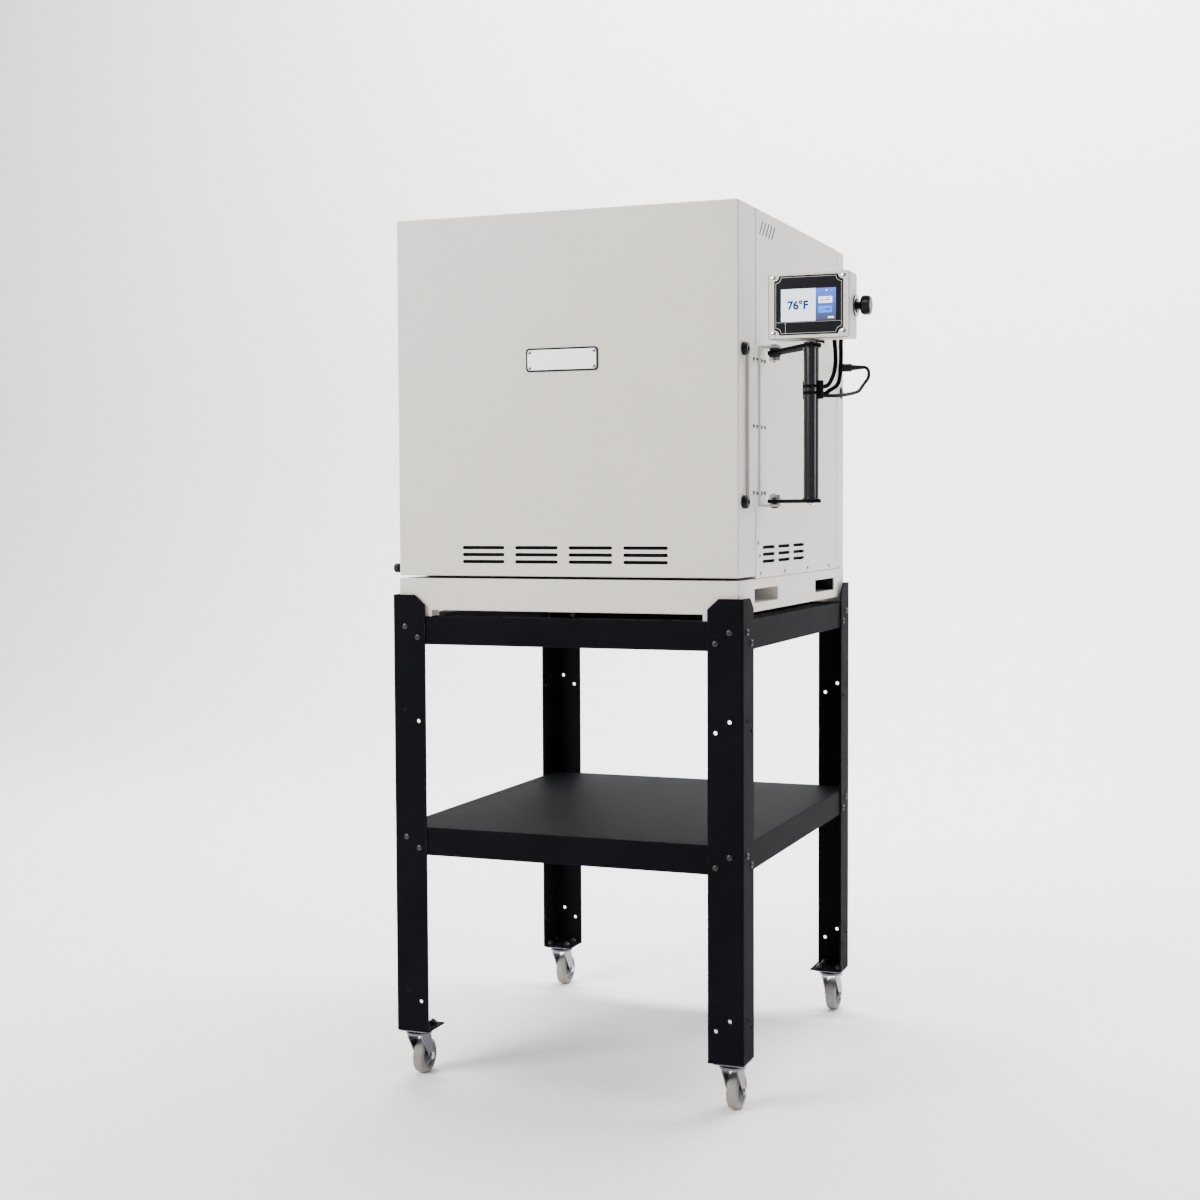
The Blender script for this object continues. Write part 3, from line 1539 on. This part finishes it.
def make_head():
    """Controller box, its screwed face and the bare panel with the touch screen."""
    half = head_width / 2
    low = (head_x - half, head_low)
    high = (head_x + half, head_high)
    outline = rounded(low, high, head_corner, 2)
    case = piece("controller_box", prism("Y", outline, box_front, box_rear), cream, head)
    hollow_low = (head_x - half + head_wall, box_front - overrun, head_low + head_wall)
    hollow_high = (head_x + half - head_wall, box_rear - head_wall, head_high - head_wall)
    cut(case, box(hollow_low, hollow_high))
    hole = circle((tilt_y, head_middle), tilt_stud_radius + running_gap, 12)
    holes = bmesh.new()
    for side in (-1, 1):
        inner = head_x + side * (half - head_wall - overrun)
        add_prism(holes, "X", hole, inner, head_x + side * (half + overrun))
    cut(case, holes)
    glands = bmesh.new()
    for side in (-1, 1):
        profile = (
            (gland_flange_radius, box_rear - head_wall * bite_share),
            (gland_flange_radius, box_rear + gland_flange_height),
            (gland_nose_radius, box_rear + gland_length),
        )
        add_turned(glands, "Y", gland_centre(side), profile, 12)
    weld(case, glands)

    face = piece("faceplate", prism("Y", outline, face_front, face_rear), cream, head)
    screws = bmesh.new()
    for side in (-1, 1):
        for end in (-1, 1):
            rise = head_height / 2 - face_screw_inset
            centre = (head_x + side * (half - face_screw_inset), head_middle + end * rise)
            profile = (
                (face_screw_radius, face_front + face_sheet * bite_share),
                (face_screw_radius, face_front - face_screw_height * bite_share),
                (face_screw_radius * bite_share, face_front - face_screw_height),
            )
            add_turned(screws, "Y", centre, profile, 12)
    weld(face, screws)

    panel_rear = face_front - gap
    panel_front = panel_rear - overlay_sheet
    panel_half = overlay_width / 2
    panel_rise = overlay_height / 2
    outline = []
    for u, v, start in ((1, 1, 270), (-1, 1, 360), (-1, -1, 90), (1, -1, 180)):
        corner = (head_x + u * panel_half, head_middle + v * panel_rise)
        outline += arc(corner, overlay_notch, start, start - 90, 3)
    panel = piece("display_panel", prism("Y", outline, panel_front, panel_rear), black_plastic, head)
    reach = screen_width / 2
    rise = screen_height / 2
    screen_low = (head_x - reach, panel_front - screen_sheet, head_middle - rise)
    screen_high = (head_x + reach, panel_rear - overlay_sheet * bite_share, head_middle + rise)
    weld(panel, box(screen_low, screen_high))


def make_tilt_knob():
    """Lobed knob whose stud is the right-hand pivot of the tilt."""
    ear_outer = head_x + ear_inner + yoke_sheet + gap
    stem_end = ear_outer + tilt_stem_length
    knob_end = stem_end + tilt_knob_length
    centre = (tilt_y, head_middle)
    stem = (
        (tilt_stud_radius, head_x + ear_inner - tilt_stud_length),
        (tilt_stud_radius, ear_outer),
        (tilt_stem_radius, ear_outer),
        (tilt_stem_radius, stem_end + tilt_knob_chamfer),
    )
    item = piece("tilt_knob", turned("X", centre, stem, 12), black_plastic, knob, 35)
    rings = []
    spans = (
        (stem_end, tilt_knob_chamfer),
        (stem_end + tilt_knob_chamfer, 0),
        (knob_end - tilt_knob_chamfer, 0),
        (knob_end, tilt_knob_chamfer),
    )
    points = tilt_knob_lobes * 6
    for along, shrink in spans:
        ring = []
        for k in range(points):
            angle = math.tau * k / points
            hollow = tilt_lobe_depth * (1 - math.cos(tilt_knob_lobes * angle)) / 2
            radius = tilt_knob_radius - shrink - hollow
            u = centre[0] + radius * math.cos(angle)
            v = centre[1] + radius * math.sin(angle)
            ring.append(point_on("X", u, v, along))
        rings.append(ring)
    weld(item, add_stack(bmesh.new(), rings))


# Leads


def make_lead_plug():
    """Round plug in the side of the rear cover."""
    root = case_half + gap
    shoulder = root + plug_length
    profile = (
        (plug_radius, root),
        (plug_radius, shoulder),
        (plug_nose_radius, shoulder),
        (plug_nose_radius, shoulder + plug_nose_length),
    )
    centre = (body_rear + plug_back, case_bottom + plug_rise)
    piece("lead_plug", turned("X", centre, profile, 16), black_plastic, kiln, 40)


def make_strands():
    """Two leads that hang in a loop from the controller to the collar on the mast."""
    out = Vector((math.cos(strand_turn), math.sin(strand_turn), 0))
    collar = Vector((mast_x, mast_y, boot_middle)) + out * (boot_radius + gap)
    for name, side, drop, hang in (
        ("lead_a", 1, -strand_drop, strand_outer_hang),
        ("lead_b", -1, strand_drop, strand_inner_hang),
    ):
        x, z = gland_centre(side)
        start = Vector((x, box_rear + gland_length + gap, z))
        end = collar + Vector((0, 0, drop))
        route = [start] + [start + Vector(step) for step in hang]
        route += [end + out * reach + Vector((0, 0, rise)) for reach, rise in strand_entry]
        route.append(end)
        route = smooth_route(route, strand_diameter * strand_step_share)
        bar(name, route, strand_diameter, black_rubber, yoke)


def make_body_lead():
    """Lead from the collar back along the case to the plug."""
    out = Vector((math.cos(body_lead_turn), math.sin(body_lead_turn), 0))
    start = Vector((mast_x, mast_y, boot_middle)) + out * (boot_radius + gap)
    nose = case_half + gap + plug_length + plug_nose_length + gap
    end = Vector((nose, body_rear + plug_back, case_bottom + plug_rise))
    knots = [start + out * body_lead_straight]
    knots += [start + Vector(step) for step in body_lead_leaving]
    knots += [end + Vector(step) for step in body_lead_arriving]
    route = [start] + smooth_route(knots, body_lead_diameter * body_lead_step_share) + [end]
    bar("body_lead", route, body_lead_diameter, black_rubber, kiln)


def centre_over_footprint(left_out):
    """Move the whole kiln so that its own box stands centred on the origin."""
    bpy.context.view_layer.update()
    graph = bpy.context.evaluated_depsgraph_get()
    points = []
    for item in pieces:
        if item.name in left_out:
            continue
        solid = item.evaluated_get(graph)
        mesh = solid.to_mesh()
        points += [solid.matrix_world @ vertex.co for vertex in mesh.vertices]
        solid.to_mesh_clear()
    xs = [point.x for point in points]
    ys = [point.y for point in points]
    kiln.location = (-(min(xs) + max(xs)) / 2, -(min(ys) + max(ys)) / 2, 0)
    bpy.context.view_layer.update()
    print("footprint centre", [round(value, 6) for value in kiln.location])


make_case_shell()
make_door_gasket()
make_bricks()
make_jacket()
make_elements()
make_thermocouple()
make_rear_cover()
make_rear_fittings()
make_base()
for label, side, end in (
    ("front_left", -1, -1),
    ("front_right", 1, -1),
    ("rear_left", -1, 1),
    ("rear_right", 1, 1),
):
    make_leg(f"leg_{label}", side, end)
    make_caster(label, side, end)
make_rails()
make_shelf()
make_door()
make_nameplate()
make_bumper("bumper_upper", arm_high - arm_sheet / 2)
make_bumper("bumper_lower", arm_low + arm_sheet / 2)
make_door_knob()
make_hinge_bracket()
make_hinge_leaf()
make_arm_plates()
make_mast()
make_yoke()
make_head()
make_tilt_knob()
make_lead_plug()
make_strands()
make_body_lead()
centre_over_footprint({"lead_a", "lead_b", "body_lead", "lead_plug"})
